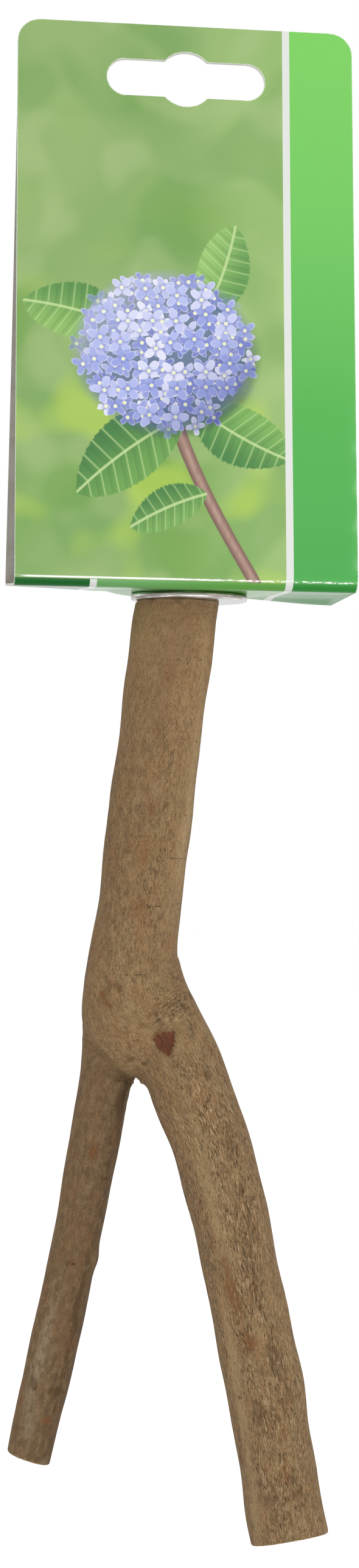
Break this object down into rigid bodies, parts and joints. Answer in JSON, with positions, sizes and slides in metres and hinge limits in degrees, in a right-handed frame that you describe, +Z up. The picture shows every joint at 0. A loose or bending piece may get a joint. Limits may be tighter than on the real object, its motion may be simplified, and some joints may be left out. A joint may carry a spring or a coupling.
{
  "type": "bird perch",
  "caption": "Forked natural-wood perch with a bolt, large washers and wing nut at its sawn end, clamped to a folded hanging display card.",
  "frame": {"origin": "centre of the bolt at the perch's sawn end face, where the lower washer sits", "axes": "+Z up along the bolt out of the sawn end, +X along the card's width to the right seen from its front, -Y towards the card's printed front"},
  "size_m": [0.0689, 0.0322, 0.3123],
  "materials": {
    "wood": "debarked, dry and matt",
    "zinc_plated_steel": "bright zinc plating",
    "printed_card": "glossy print outside, plain grey board inside"
  },
  "bodies": {
    "perch": {"branch": "wood", "hanger_bolt": "zinc_plated_steel"},
    "lower_washer": {"lower_washer": "zinc_plated_steel"},
    "upper_washer": {"upper_washer": "zinc_plated_steel"},
    "hang_card": {"hang_card": "printed_card"},
    "wing_nut": {"wing_nut": "zinc_plated_steel"}
  },
  "joints": [
    {"name": "lower_washer_turn", "type": "hinge", "parent": "perch", "child": "lower_washer", "pos_m": [0.00108, 0, 0], "axis": [0, 0, 1], "continuous": true},
    {"name": "clamp_lift", "type": "slide", "parent": "perch", "child": "upper_washer", "axis": [0, 0, 1], "range_m": [0, 0.014]},
    {"name": "nut_turn", "type": "hinge", "parent": "upper_washer", "child": "wing_nut", "pos_m": [0, 0, 0.00345], "axis": [0, 0, 1], "range_deg": [0, 5040]},
    {"name": "card_swivel", "type": "hinge", "parent": "upper_washer", "child": "hang_card", "pos_m": [0, 0, 0.0015], "axis": [0, 0, 1], "continuous": true}
  ],
  "couplings": [
    {"joint": "clamp_lift", "follows": "nut_turn", "m_per_rad": 0.00015915}
  ]
}
